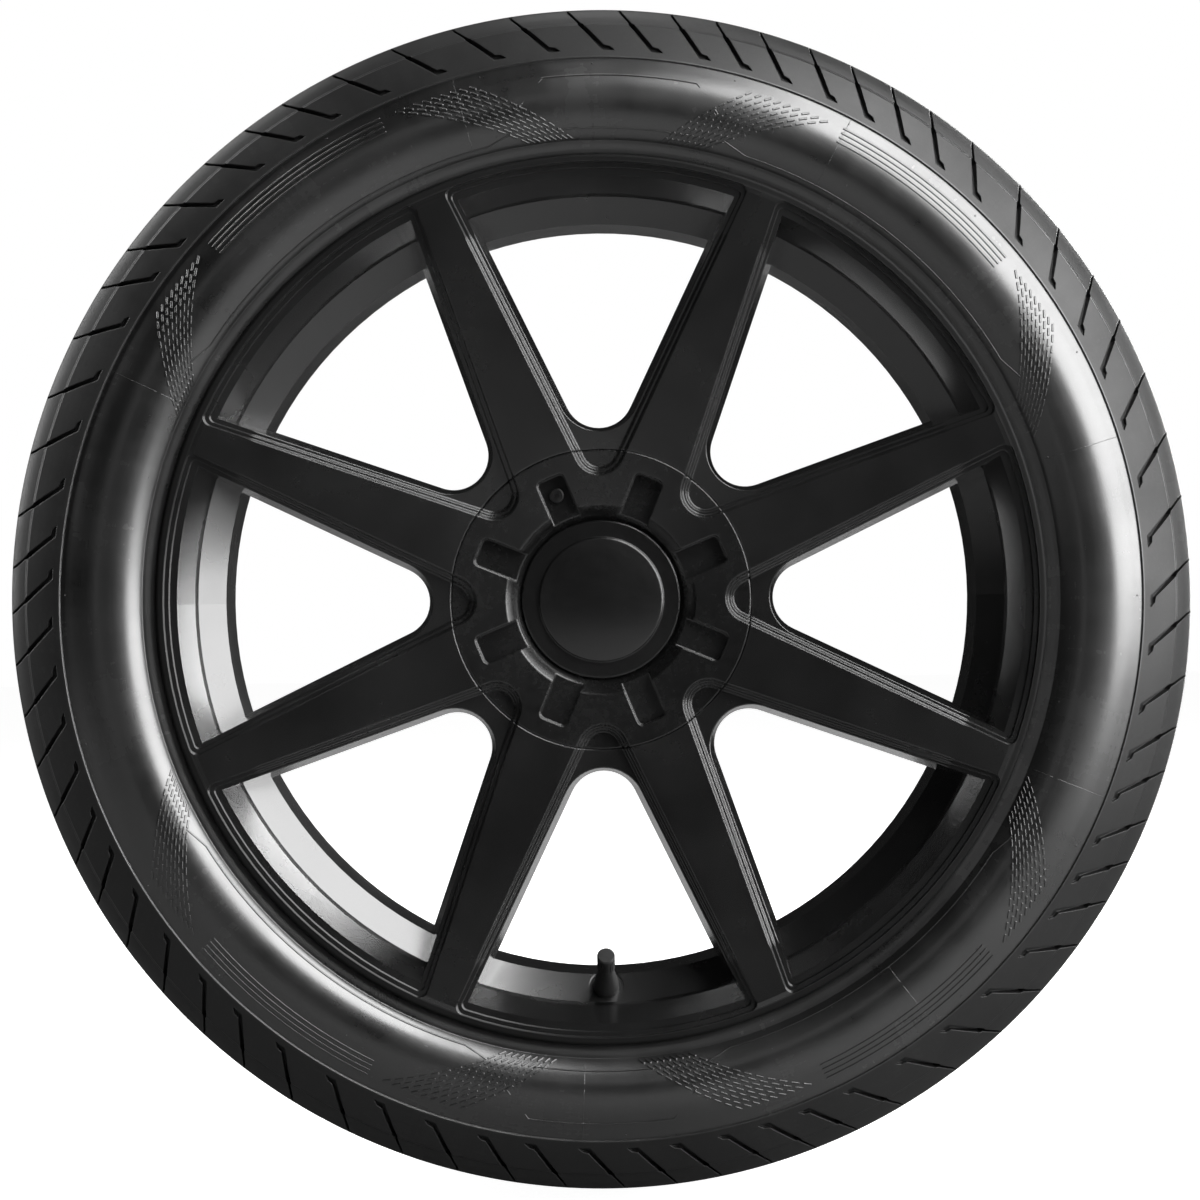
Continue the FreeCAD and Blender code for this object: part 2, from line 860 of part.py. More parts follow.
PIECES = (
    tyre,
    wheel,
    centre_cover,
    centre_cap,
    cover_screw,
    valve_stem,
    valve_tube,
    valve_core_barrel,
    valve_core_pin,
    valve_core_spring,
    valve_core_seal,
    valve_cap,
    valve_cap_seal,
)

os.makedirs("parts", exist_ok=True)
for piece in PIECES:
    shape = piece()
    shape.exportStep(f"parts/{piece.__name__}.step")
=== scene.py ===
import json
import math
import random

import bmesh
import bpy
from mathutils import Matrix, Vector


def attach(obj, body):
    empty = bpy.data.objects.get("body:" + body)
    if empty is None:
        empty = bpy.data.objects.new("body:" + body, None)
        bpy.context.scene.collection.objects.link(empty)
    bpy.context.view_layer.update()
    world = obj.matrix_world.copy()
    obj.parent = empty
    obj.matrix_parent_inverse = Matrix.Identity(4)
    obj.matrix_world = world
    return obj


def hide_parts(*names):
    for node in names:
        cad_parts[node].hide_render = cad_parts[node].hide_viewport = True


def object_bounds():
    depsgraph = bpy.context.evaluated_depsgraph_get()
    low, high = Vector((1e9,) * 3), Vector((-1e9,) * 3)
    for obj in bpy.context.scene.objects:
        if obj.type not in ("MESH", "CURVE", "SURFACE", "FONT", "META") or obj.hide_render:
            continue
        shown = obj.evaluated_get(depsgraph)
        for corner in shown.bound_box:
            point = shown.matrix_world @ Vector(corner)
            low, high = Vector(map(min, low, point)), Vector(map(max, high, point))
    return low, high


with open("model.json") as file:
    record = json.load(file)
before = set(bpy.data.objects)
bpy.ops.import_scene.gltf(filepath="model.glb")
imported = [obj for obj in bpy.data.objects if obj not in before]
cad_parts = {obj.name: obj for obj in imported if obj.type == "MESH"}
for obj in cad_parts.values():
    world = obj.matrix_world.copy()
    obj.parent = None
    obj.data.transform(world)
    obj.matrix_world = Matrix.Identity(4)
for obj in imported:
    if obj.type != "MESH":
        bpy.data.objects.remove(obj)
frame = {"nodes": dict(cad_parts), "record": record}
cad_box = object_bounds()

# A car wheel with its tyre, in the CAD's frame: the axle along Y, the outer face towards -Y, Z up.
# Clock angles are in degrees, clockwise from the top as seen from the outer face.
# The section's sizes are in millimetres, and MM turns them to metres.

MM = 0.001
TOP = "wheel_and_tyre"

rng = random.Random(7)


# Node helpers

def add(tree, kind, inputs=None, **settings):
    """A new node with its settings, and its inputs given as values or as links."""
    made = tree.nodes.new(kind)
    for name, value in settings.items():
        setattr(made, name, value)
    for key, value in (inputs or {}).items():
        if isinstance(value, bpy.types.NodeSocket):
            tree.links.new(value, made.inputs[key])
        else:
            made.inputs[key].default_value = value
    return made


def group(name, inputs, outputs):
    """A new shader node group with float inputs {name: default} and outputs {name: socket type}."""
    tree = bpy.data.node_groups.new(name, "ShaderNodeTree")
    for label, value in inputs.items():
        socket = tree.interface.new_socket(label, in_out="INPUT", socket_type="NodeSocketFloat")
        socket.default_value = value
    for label, kind in outputs.items():
        tree.interface.new_socket(label, in_out="OUTPUT", socket_type=kind)
    return tree, tree.nodes.new("NodeGroupInput"), tree.nodes.new("NodeGroupOutput")


def use(tree, shared, **inputs):
    made = tree.nodes.new("ShaderNodeGroup")
    made.node_tree = shared
    for key, value in inputs.items():
        made.inputs[key.replace("_", " ")].default_value = value
    return made


def maths(tree, operation, *values):
    made = add(tree, "ShaderNodeMath", operation=operation)
    for index, value in enumerate(values):
        if isinstance(value, bpy.types.NodeSocket):
            tree.links.new(value, made.inputs[index])
        else:
            made.inputs[index].default_value = value
    return made.outputs[0]


def ranged(tree, value, low, high, to_low=0.0, to_high=1.0):
    made = add(tree, "ShaderNodeMapRange", {
        "Value": value, "From Min": low, "From Max": high, "To Min": to_low, "To Max": to_high})
    return made.outputs["Result"]


def blended(tree, factor, first, second):
    """A colour between two others."""
    made = add(tree, "ShaderNodeMix", {0: factor, 6: first, 7: second}, data_type="RGBA")
    return made.outputs[2]


def grey(value, warmth=0.0):
    return (value * (1 + warmth), value, value * (1 - warmth), 1.0)


# Shared effects

def cloud_group():
    """Soft uneven patches, at one scale."""
    tree, given, put = group("clouds", {"Scale": 20.0, "Low": 0.35, "High": 0.65},
                             {"Mask": "NodeSocketFloat"})
    place = add(tree, "ShaderNodeTexCoord")
    noise = add(tree, "ShaderNodeTexNoise", {
        "Vector": place.outputs["Object"], "Scale": given.outputs["Scale"],
        "Detail": 6.0, "Roughness": 0.55})
    mask = ranged(tree, noise.outputs[0], given.outputs["Low"], given.outputs["High"])
    tree.links.new(mask, put.inputs["Mask"])
    return tree


def grain_group():
    """The fine grain of a moulded or sprayed surface over softly rounded edges, as a normal."""
    tree, given, put = group("grain", {"Scale": 900.0, "Strength": 0.2, "Height": 0.0002, "Round": 0.0},
                             {"Normal": "NodeSocketVector"})
    place = add(tree, "ShaderNodeTexCoord")
    noise = add(tree, "ShaderNodeTexNoise", {
        "Vector": place.outputs["Object"], "Scale": given.outputs["Scale"], "Detail": 3.0})
    rounded = add(tree, "ShaderNodeBevel", {"Radius": given.outputs["Round"]}, samples=6)
    bump = add(tree, "ShaderNodeBump", {
        "Strength": given.outputs["Strength"], "Distance": given.outputs["Height"],
        "Height": noise.outputs[0], "Normal": rounded.outputs[0]})
    tree.links.new(bump.outputs["Normal"], put.inputs["Normal"])
    return tree


def polar_group():
    """Streaks round the axle and streaks out from it, and the distance from it."""
    tree, given, put = group("polar", {"Ring Scale": 300.0, "Ray Scale": 40.0}, {
        "Ring": "NodeSocketFloat", "Ray": "NodeSocketFloat", "Radius": "NodeSocketFloat"})
    place = add(tree, "ShaderNodeTexCoord")
    split = add(tree, "ShaderNodeSeparateXYZ", {0: place.outputs["Object"]})
    x, z = split.outputs["X"], split.outputs["Z"]
    square = maths(tree, "ADD", maths(tree, "MULTIPLY", x, x), maths(tree, "MULTIPLY", z, z))
    radius = maths(tree, "SQRT", square)
    across = maths(tree, "DIVIDE", x, radius)
    up = maths(tree, "DIVIDE", z, radius)
    ring_place = add(tree, "ShaderNodeCombineXYZ", {
        "X": across, "Y": maths(tree, "MULTIPLY", radius, given.outputs["Ring Scale"]), "Z": up})
    ring = add(tree, "ShaderNodeTexNoise", {
        "Vector": ring_place.outputs[0], "Scale": 1.0, "Detail": 4.0})
    ray_place = add(tree, "ShaderNodeCombineXYZ", {
        "X": maths(tree, "MULTIPLY", across, given.outputs["Ray Scale"]),
        "Y": maths(tree, "MULTIPLY", radius, 12.0),
        "Z": maths(tree, "MULTIPLY", up, given.outputs["Ray Scale"])})
    ray = add(tree, "ShaderNodeTexNoise", {
        "Vector": ray_place.outputs[0], "Scale": 1.0, "Detail": 4.0})
    tree.links.new(ring.outputs[0], put.inputs["Ring"])
    tree.links.new(ray.outputs[0], put.inputs["Ray"])
    tree.links.new(radius, put.inputs["Radius"])
    return tree


CLOUDS = cloud_group()
GRAIN = grain_group()
POLAR = polar_group()


# Materials

def material(name):
    made = bpy.data.materials.new(name)
    made.use_nodes = True
    tree = made.node_tree
    shader = tree.nodes["Principled BSDF"]
    return made, tree, shader


def uneven(name, dark, light, rough, sheen, cloud_scale, grain, metal=0.0, coat=0.0,
           rounding=0.0):
    """A finish whose colour and roughness drift with soft clouds, over a fine grain."""
    made, tree, shader = material(name)
    clouds = use(tree, CLOUDS, Scale=cloud_scale)
    fine = use(tree, CLOUDS, Scale=cloud_scale * 9.0)
    both = maths(tree, "MULTIPLY", maths(tree, "ADD", clouds.outputs[0], fine.outputs[0]), 0.5)
    tree.links.new(blended(tree, both, grey(dark), grey(light)), shader.inputs["Base Color"])
    tree.links.new(ranged(tree, both, 0.0, 1.0, rough - sheen, rough + sheen), shader.inputs["Roughness"])
    scale, strength, height = grain
    bump = use(tree, GRAIN, Scale=scale, Strength=strength, Height=height, Round=rounding)
    tree.links.new(bump.outputs[0], shader.inputs["Normal"])
    shader.inputs["Metallic"].default_value = metal
    if coat:
        shader.inputs["Specular IOR Level"].default_value = 0.8
        shader.inputs["Coat Weight"].default_value = coat
        shader.inputs["Coat Roughness"].default_value = 0.15
        tree.links.new(bump.outputs[0], shader.inputs["Coat Normal"])
    return made


def brass_finish():
    made = uneven("valve_brass", 0.30, 0.42, 0.30, 0.08, 300.0, (2500.0, 0.15, 0.00005), metal=1.0)
    tree = made.node_tree
    shader = tree.nodes["Principled BSDF"]
    clouds = use(tree, CLOUDS, Scale=260.0)
    colour = blended(tree, clouds.outputs[0], (0.46, 0.30, 0.10, 1), (0.62, 0.43, 0.17, 1))
    tree.links.new(colour, shader.inputs["Base Color"])
    return made


def rubber_finish():
    """Dressed tyre rubber: dark, with ring and ray streaks from the mould, duller on the shoulder."""
    made, tree, shader = material("tyre_rubber")
    polar = use(tree, POLAR, Ring_Scale=260.0, Ray_Scale=55.0)
    clouds = use(tree, CLOUDS, Scale=14.0)
    specks = use(tree, CLOUDS, Scale=420.0, Low=0.52, High=0.75)
    streaks = maths(tree, "ADD", maths(tree, "MULTIPLY", polar.outputs["Ring"], 0.5),
                    maths(tree, "MULTIPLY", polar.outputs["Ray"], 0.5))
    drift = maths(tree, "ADD", maths(tree, "MULTIPLY", streaks, 0.6),
                  maths(tree, "MULTIPLY", clouds.outputs[0], 0.4))
    rubber = blended(tree, drift, grey(0.004), grey(0.009))
    dusty = blended(tree, maths(tree, "MULTIPLY", specks.outputs[0], 0.2), rubber, grey(0.03, 0.02))
    tree.links.new(dusty, shader.inputs["Base Color"])
    tread = ranged(tree, polar.outputs["Radius"], 0.3455, 0.347)
    worn = maths(tree, "MULTIPLY", tread, 0.16)
    tree.links.new(maths(tree, "ADD", ranged(tree, drift, 0.25, 0.75, 0.26, 0.38), worn),
                   shader.inputs["Roughness"])
    bump = use(tree, GRAIN, Scale=1300.0, Strength=0.16, Height=0.0002, Round=0.0008)
    tree.links.new(bump.outputs[0], shader.inputs["Normal"])
    shader.inputs["IOR"].default_value = 1.55
    tree.links.new(ranged(tree, tread, 0.0, 1.0, 1.0, 0.5), shader.inputs["Specular IOR Level"])
    shader.inputs["Coat IOR"].default_value = 1.6
    tree.links.new(ranged(tree, tread, 0.0, 1.0, 1.0, 0.1), shader.inputs["Coat Weight"])
    tree.links.new(ranged(tree, drift, 0.25, 0.75, 0.19, 0.30), shader.inputs["Coat Roughness"])
    tree.links.new(bump.outputs[0], shader.inputs["Coat Normal"])
    return made


def paint_finish():
    """Satin black paint over the casting: fine orange peel, a few dust specks, and a rubbed rim edge."""
    made, tree, shader = material("wheel_paint")
    clouds = use(tree, CLOUDS, Scale=18.0)
    specks = use(tree, CLOUDS, Scale=700.0, Low=0.66, High=0.74)
    paint = blended(tree, clouds.outputs[0], grey(0.004), grey(0.006))
    dusty = blended(tree, maths(tree, "MULTIPLY", specks.outputs[0], 0.3), paint, grey(0.03))
    tree.links.new(dusty, shader.inputs["Base Color"])
    radius = use(tree, POLAR).outputs["Radius"]
    rubbed = ranged(tree, radius, 0.2785, 0.2800)
    satin = ranged(tree, clouds.outputs[0], 0.0, 1.0, 0.23, 0.28)
    dull = maths(tree, "MULTIPLY", rubbed, 0.3)
    tree.links.new(maths(tree, "ADD", satin, dull), shader.inputs["Roughness"])
    peel = use(tree, GRAIN, Scale=700.0, Strength=0.03, Height=0.0002)
    place = add(tree, "ShaderNodeTexCoord")
    split = add(tree, "ShaderNodeSeparateXYZ", {0: place.outputs["Object"]})
    front = ranged(tree, split.outputs["Y"], -0.098, -0.095, 1.0, 0.0)
    spokes = ranged(tree, radius, 0.244, 0.248, 0.0013, 0.0)
    tree.links.new(maths(tree, "MULTIPLY", front, spokes), peel.inputs["Round"])
    tree.links.new(peel.outputs[0], shader.inputs["Normal"])
    tree.links.new(ranged(tree, rubbed, 0.0, 1.0, 1.0, 0.2), shader.inputs["Specular IOR Level"])
    tree.links.new(ranged(tree, rubbed, 0.0, 1.0, 1.0, 0.0), shader.inputs["Coat Weight"])
    shader.inputs["Coat Roughness"].default_value = 0.17
    tree.links.new(peel.outputs[0], shader.inputs["Coat Normal"])
    return made


RUBBER = rubber_finish()
PAINT = paint_finish()
MATERIALS = {
    "tyre_rubber": RUBBER,
    "wheel_paint": PAINT,
    "cover_plastic": uneven("cover_plastic", 0.004, 0.006, 0.26, 0.04, 30.0, (1100.0, 0.04, 0.0002),
                            coat=0.8, rounding=0.0016),
    "cap_plastic": uneven("cap_plastic", 0.004, 0.006, 0.24, 0.03, 34.0, (1000.0, 0.03, 0.0002), coat=0.9,
                          rounding=0.0016),
    "screw_steel": uneven("screw_steel", 0.05, 0.09, 0.34, 0.08, 260.0, (2600.0, 0.2, 0.0001), metal=1.0),
    "stem_rubber": uneven("stem_rubber", 0.010, 0.020, 0.52, 0.08, 120.0, (1600.0, 0.3, 0.0002)),
    "valve_brass": brass_finish(),
    "core_steel": uneven("core_steel", 0.36, 0.52, 0.28, 0.08, 400.0, (3000.0, 0.15, 0.00005), metal=1.0),
    "seal_rubber": uneven("seal_rubber", 0.012, 0.024, 0.6, 0.08, 300.0, (2600.0, 0.3, 0.0001)),
    "valve_cap_plastic": uneven("valve_cap_plastic", 0.010, 0.018, 0.42, 0.06, 200.0,
                                (2200.0, 0.25, 0.0001)),
}


def dress(piece, slot):
    piece.data.materials.clear()
    piece.data.materials.append(MATERIALS[slot])


def finished(bm, name, slot, sharp=35.0, body=TOP, nodes=()):
    """Turns a bmesh into a piece in the frame, smooth but for edges sharper than an angle."""
    mesh = bpy.data.meshes.new(name)
    bmesh.ops.recalc_face_normals(bm, faces=bm.faces)
    bm.to_mesh(mesh)
    bm.free()
    for face in mesh.polygons:
        face.use_smooth = True
    mesh.set_sharp_from_angle(angle=math.radians(sharp))
    piece = bpy.data.objects.new(name, mesh)
    bpy.context.scene.collection.objects.link(piece)
    dress(piece, slot)
    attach(piece, body)
    if nodes:
        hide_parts(*nodes)
    return piece


# Tyre section

class Arc:
    """A circle of the tyre's section. Each place is (y, r, normal y, normal r) on its front side."""

    def __init__(self, y, r, radius):
        self.y, self.r, self.radius = y, r, radius

    def place(self, y, r):
        return (y, r, (y - self.y) / self.radius, (r - self.r) / self.radius)

    def at_y(self, y):
        return self.place(y, self.r + math.sqrt(self.radius ** 2 - (y - self.y) ** 2))

    def at_r(self, r):
        return self.place(self.y - math.sqrt(self.radius ** 2 - (r - self.r) ** 2), r)


def through(start, end, bulge):
    """The circle through two (y, r) places that stands out from their chord by a bulge."""
    across, up = end[0] - start[0], end[1] - start[1]
    chord = math.hypot(across, up)
    radius = chord ** 2 / (8 * bulge) + bulge / 2
    reach = (radius - bulge) / chord
    return Arc((start[0] + end[0]) / 2 - up * reach, (start[1] + end[1]) / 2 + across * reach, radius)


CROWN = Arc(0.0, -129.5, 520.0)
SHOULDER = through((-112.0, 378.3), (-129.1, 346.0), 1.0)
SIDEWALL = Arc(-93.7, 317.5, 44.0)
LOWER_SIDE = Arc(-105.6, 316.0, 32.0)
LOWER_START = 312.0
LOWER_END = 292.6
RELIEF_SINK = 0.6
EDGE = Arc(-83.25, 350.3, 38.5)
EDGE_RADIUS = 378.3
EDGE_FOOT = 368.3
SLIT_SLANT = math.tan(math.radians(40.0))
SIPE_SLANT = math.tan(math.radians(20.0))
PITCHES = "MSSMSSSMXLLMLXXXMXMSMSSMLLLXMSSMSMLMLLLXLMLLMSMMMMMSMXLXLSLLMSLXXLLM"
PITCH_LENGTHS = {"S": 150.0, "M": 172.0, "L": 192.0, "X": 212.0}
FIRST_SLIT = 2.5
COLUMNS = 10


def pitch_angles():
    """The clock angle of each tread pitch, in radians, with the first again at the end."""
    total = sum(PITCH_LENGTHS[name] for name in PITCHES)
    angles = [math.radians(FIRST_SLIT)]
    for name in PITCHES:
        angles.append(angles[-1] + 2 * math.pi * PITCH_LENGTHS[name] / total)
    return angles


def side_place(r):
    """The sidewall at a radius: it turns in faster below its widest ring."""
    return (SIDEWALL if r > LOWER_START else LOWER_SIDE).at_r(r)


def side_sink(r):
    """How far the ground of the sidewall lies under the tops of its relief."""
    return RELIEF_SINK * min(1.0, max(345.0 - r, 0.0) / 5.0)


def row(place, sink=0.0, slit=0.0, width=1.4, twist=0.0, hook=0.0):
    return {"place": place, "sink": sink, "slit": slit, "width": width, "twist": twist, "hook": hook}


def tread_rows():
    """Rows from the middle of the tread to its front edge: ribs with sipes, and two rain grooves."""
    rows = [(0.0, 0.0, 0.0), (9.0, 0.0, 0.0), (15.0, 0.0, 0.0)]
    for middle in (21.0, 58.0):
        rows += [(middle - 5.5, 0.4, 0.0), (middle - 4.7, 7.5, 0.0),
                 (middle + 4.7, 7.5, 0.0), (middle + 5.5, 0.4, 0.0), (middle + 6.0, 0.0, 0.0)]
        start, end = (30.0, 49.0) if middle < 40 else (67.0, 95.0)
        rows += [(start, 0.0, 0.0), (start + 0.6, 0.0, 3.0), ((start + end) / 2, 0.0, 3.5),
                 (end - 0.6, 0.0, 3.0), (end, 0.0, 0.0)]
        if middle < 40:
            rows.append((52.0, 0.0, 0.0))
    made = []
    for y, sink, slit in rows:
        twist = -SIPE_SLANT * (98.0 - y)
        made.append(row(CROWN.at_y(-y), sink, slit, 0.8, twist))
    for y, slit in ((98.0, 0.0), (98.7, 4.5), (103.0, 5.0), (106.5, 5.0), (109.0, 5.0)):
        made.append(row(CROWN.at_y(-y), 0.0, slit, 1.5))
    return made


def shoulder_rows():
    """Rows down the shoulder, where the slits widen, turn a small foot and end above the buttress."""
    made = []
    for r, sink, slit, width, hook in (
        (376.4, 0.0, 5.2, 1.5, 0.0), (373.0, 0.0, 5.2, 1.5, 0.0), (369.6, 0.0, 5.0, 1.6, 0.0),
        (369.2, -0.3, 5.0, 2.6, 0.0), (368.6, -0.3, 5.0, 3.0, 0.0), (368.2, 0.0, 4.8, 3.0, 0.0),
        (364.0, 0.0, 4.4, 3.0, 0.0), (360.0, 0.0, 3.8, 3.0, 0.0), (356.5, 0.0, 3.1, 3.0, 0.0),
        (354.2, 0.0, 2.6, 3.0, 0.0), (353.5, 0.0, 2.4, 3.0, 3.0), (351.2, 0.0, 1.8, 3.0, 3.6),
        (350.6, 0.0, 0.0, 3.0, 3.6), (348.4, 0.0, 0.0, 3.0, 3.6), (346.4, 0.0, 0.0, 3.0, 3.6)):
        twist = SLIT_SLANT * (EDGE_RADIUS - r)
        place = (EDGE if r > EDGE_FOOT else SHOULDER).at_r(r)
        made.append(row(place, sink, slit, width / math.cos(math.atan(SLIT_SLANT)), twist, hook))
    return made


def side_rows():
    """Rows from the buttress step to the rim, round the bead and back along the inner liner."""
    twist = SLIT_SLANT * (EDGE_RADIUS - 346.0)
    made = []
    for y, r in ((-129.15, 345.95), (-128.9, 345.5), (-128.15, 345.05)):
        made.append(row((y, r, -1.0, 0.0), twist=twist))
    for r in (343.6, 341.0, 339.0, 336.0, 332.0, 327.5, 323.0, 318.5, 314.0,
              310.5, 307.0, 303.5, 300.0, 297.0, 294.5, 292.6):
        made.append(row(side_place(r), side_sink(r), twist=twist))
    foot = ((-126.7, 290.6), (-125.9, 288.6), (-125.5, 286.8), (-125.4, 285.6), (-124.9, 284.2))
    bead = ((-122.93, 282.2), (-120.35, 276.0), (-120.35, 272.2), (-118.7, 268.1), (-114.65, 266.5),
            (-99.65, 265.2))
    liner = ((-98.15, 268.5), (-108.15, 288.5), (-121.5, 303.0), (-128.3, 322.0), (-126.2, 335.0),
             (-118.9, 345.0), (-110.6, 357.5), (-100.5, 366.8), (-50.0, 371.1), (0.0, 373.5))
    for y, r in foot + bead + liner:
        made.append(row((y, r, -1.0, 0.0), twist=twist))
    return made


def column_offsets(width, hook, pitch):
    """Where a pitch's columns lie, in millimetres clockwise of its slit's middle."""
    half = width / 2
    edge = half + hook
    offsets = [-half - 0.6, -half, -half + 0.3, edge - 0.3, edge, edge + 0.6]
    room = pitch - 2 * half - hook - 1.2
    offsets += [edge + 0.6 + room * share / 5 for share in (1, 2, 3, 4)]
    return offsets


def tyre():
    """The tyre: its section spun round, then each pitch's columns turned and sunk into slits."""
    front = tread_rows() + shoulder_rows() + side_rows()
    back = [dict(each, mirrored=True) for each in reversed(front[1:-1])]
    rows = front + back
    bm = bmesh.new()
    mark = bm.verts.layers.int.new("row")
    ring = []
    for index, each in enumerate(rows):
        y, r = each["place"][:2]
        vertex = bm.verts.new((0.0, -y * MM if "mirrored" in each else y * MM, r * MM))
        vertex[mark] = index
        ring.append(vertex)
    edges = [bm.edges.new((ring[index - 1], ring[index])) for index in range(len(ring))]
    steps = len(PITCHES) * COLUMNS
    bmesh.ops.spin(bm, geom=ring + edges, cent=(0, 0, 0), axis=(0, 1, 0), angle=2 * math.pi,
                   steps=steps, use_merge=True)
    angles = pitch_angles()
    for vertex in bm.verts:
        each = rows[vertex[mark]]
        y, r, across, out = each["place"]
        column = round(math.atan2(vertex.co.x, vertex.co.z) / (2 * math.pi) * steps) % steps
        pitch, part = divmod(column, COLUMNS)
        length = (angles[pitch + 1] - angles[pitch]) * r
        offset = column_offsets(each["width"], each["hook"], length)[part]
        depth = each["sink"] + (each["slit"] if part in (2, 3) else 0.0)
        side = -1.0 if "mirrored" in each else 1.0
        twist = each["twist"]
        if side < 0 and r > 260 and twist > 0:
            twist = -twist
        angle = angles[pitch] + (offset + twist) / r
        deep_y, deep_r = y - across * depth, r - out * depth
        vertex.co = Vector((deep_r * math.sin(angle), side * deep_y, deep_r * math.cos(angle))) * MM
    bmesh.ops.remove_doubles(bm, verts=bm.verts, dist=1e-6)
    return finished(bm, "tyre_body", "tyre_rubber", 24.0, nodes=("tyre",))


# Sidewall relief

ROLL = 0.75
BANDS = ((16, 26, 7, 13), (51, 59, 64, 70), (122.5, 131, 112, 118), (156, 165, 169, 176),
         (195, 205, 185, 192), (230, 238.5, 243, 249), (302.5, 311, 293, 298), (336.5, 346, 351, 357))
BAND_TOP, BAND_FOOT = 337.0, 293.0


def on_side(clock, r):
    """A point of the front sidewall and its outward normal."""
    if r > LOWER_END:
        y, r, across, out = side_place(r)
        sink = side_sink(r)
        y, r_in = y - across * sink, r - out * sink
    else:
        y, r_in, across, out = -127.0, r, -0.8, -0.6
    angle = math.radians(clock + ROLL)
    ray = Vector((math.sin(angle), 0.0, math.cos(angle)))
    normal = Vector((ray.x * out, across, ray.z * out)).normalized()
    return (ray * r_in + Vector((0, y, 0))) * MM, normal


def bar(bm, start, end, width, height):
    """A low straight bar on the sidewall between two (clock angle, radius) places, in millimetres."""
    first, normal = on_side(*start)
    last, other = on_side(*end)
    along = last - first
    length = along.length
    along.normalize()
    face = (normal + other).normalized()
    side = face.cross(along).normalized()
    face = along.cross(side)
    depth = height + 0.6
    middle = (first + last) / 2 + face * ((height - 0.6) / 2 * MM)
    turn = Matrix((along, side, face)).transposed().to_4x4()
    size = Matrix.Diagonal((length, width * MM, depth * MM, 1.0))
    bmesh.ops.create_cube(bm, size=1.0, matrix=Matrix.Translation(middle) @ turn @ size)


def run(bm, places, width, height):
    for start, end in zip(places, places[1:]):
        bar(bm, start, end, width, height)


def sweep(start, end, r, step=1.4):
    count = max(2, math.ceil(abs(end - start) / step))
    return [(start + (end - start) * index / count, r) for index in range(count + 1)]


def hatch(bm):
    """Bands of slanted lines of short dashes."""
    lines, dashes = 9, 11
    for top0, top1, foot0, foot1 in BANDS:
        for index in range(lines):
            share = (index + 0.5) / lines
            top, foot = top0 + (top1 - top0) * share, foot0 + (foot1 - foot0) * share
            for dash in range(dashes):
                a, b = (dash + 0.06) / dashes, (dash + 0.74) / dashes
                places = [(top + (foot - top) * t, BAND_TOP + (BAND_FOOT - BAND_TOP) * t) for t in (a, b)]
                bar(bm, places[0], places[1], 1.2, 0.56)


def panels(bm):
    """Ribbed panels and thin outlines between the bands, with plain frames at the top and the bottom."""
    for left, right in ((0, 1), (2, 3), (4, 5), (6, 7)):
        start, end = BANDS[left][1] + 1.2, BANDS[right][0] - 1.2
        for r in (337.2, 333.9, 330.6, 327.3):
            run(bm, sweep(start, end, r), 1.1, 0.5)
    for left, right in ((0, 1), (2, 3), (4, 5), (6, 7)):
        foot0, foot1 = max(BANDS[left][2:]), min(BANDS[right][2:])
        if foot0 > foot1:
            continue
        low, cut = 296.5, 3.0
        places = [(foot0 + 2.0, low + 5.0), (foot0 + 2.0 + cut, low)]
        places += sweep(foot0 + 2.0 + cut, foot1 - 2.0 - cut, low)[1:]
        run(bm, places + [(foot1 - 2.0, low + 5.0)], 1.0, 0.45)
    for middle, reach in ((2.0, 11.5), (180.0, 11.0)):
        high, low, cut = 334.0, 300.0, 3.0
        centre = (high + low) / 2
        left, right = middle - reach, middle + reach
        places = [(left, centre), (left + cut, high)]
        places += sweep(left + cut, right - cut, high)[1:]
        places += [(right, centre), (right - cut, low)]
        places += sweep(right - cut, left + cut, low)[1:]
        run(bm, places + [(left, centre)], 1.0, 0.45)


def mould_marks(bm):
    """Seams of the mould, and small vent nubs on the sidewall."""
    for clock in (27.5, 72.5, 111.5, 142.0, 182.0, 295.0, 344.0):
        run(bm, [(clock, r) for r in (344.5, 341, 336, 330, 322, 314, 306, 300, 296)], 0.5, 0.16)
    for index in range(24):
        clock = index * 15.0 + rng.uniform(-3.0, 3.0)
        r = rng.choice((341.5, 341.8, 321.0, 298.0))
        bar(bm, (clock, r), (clock + 0.16, r), 0.9, 0.3)


def relief(name, turn):
    bm = bmesh.new()
    hatch(bm)
    panels(bm)
    mould_marks(bm)
    if turn:
        bmesh.ops.rotate(bm, cent=(0, 0, 0), matrix=Matrix.Rotation(math.pi, 3, "Z"), verts=bm.verts)
    return finished(bm, name, "tyre_rubber", 30.0)


# Wheel, cover, cap and valve

CAP_SEAT, CAP_FACE, CAP_RADIUS = -98.75, -101.35, 51.0
CAP_SKIRT, CAP_SKIRT_INNER, CAP_SKIRT_END = 44.75, 42.95, -93.75
DOME_RADIUS, DOME_FOOT = 40.0, -103.55
DOME = Arc(228.15, 0.0, 334.5)


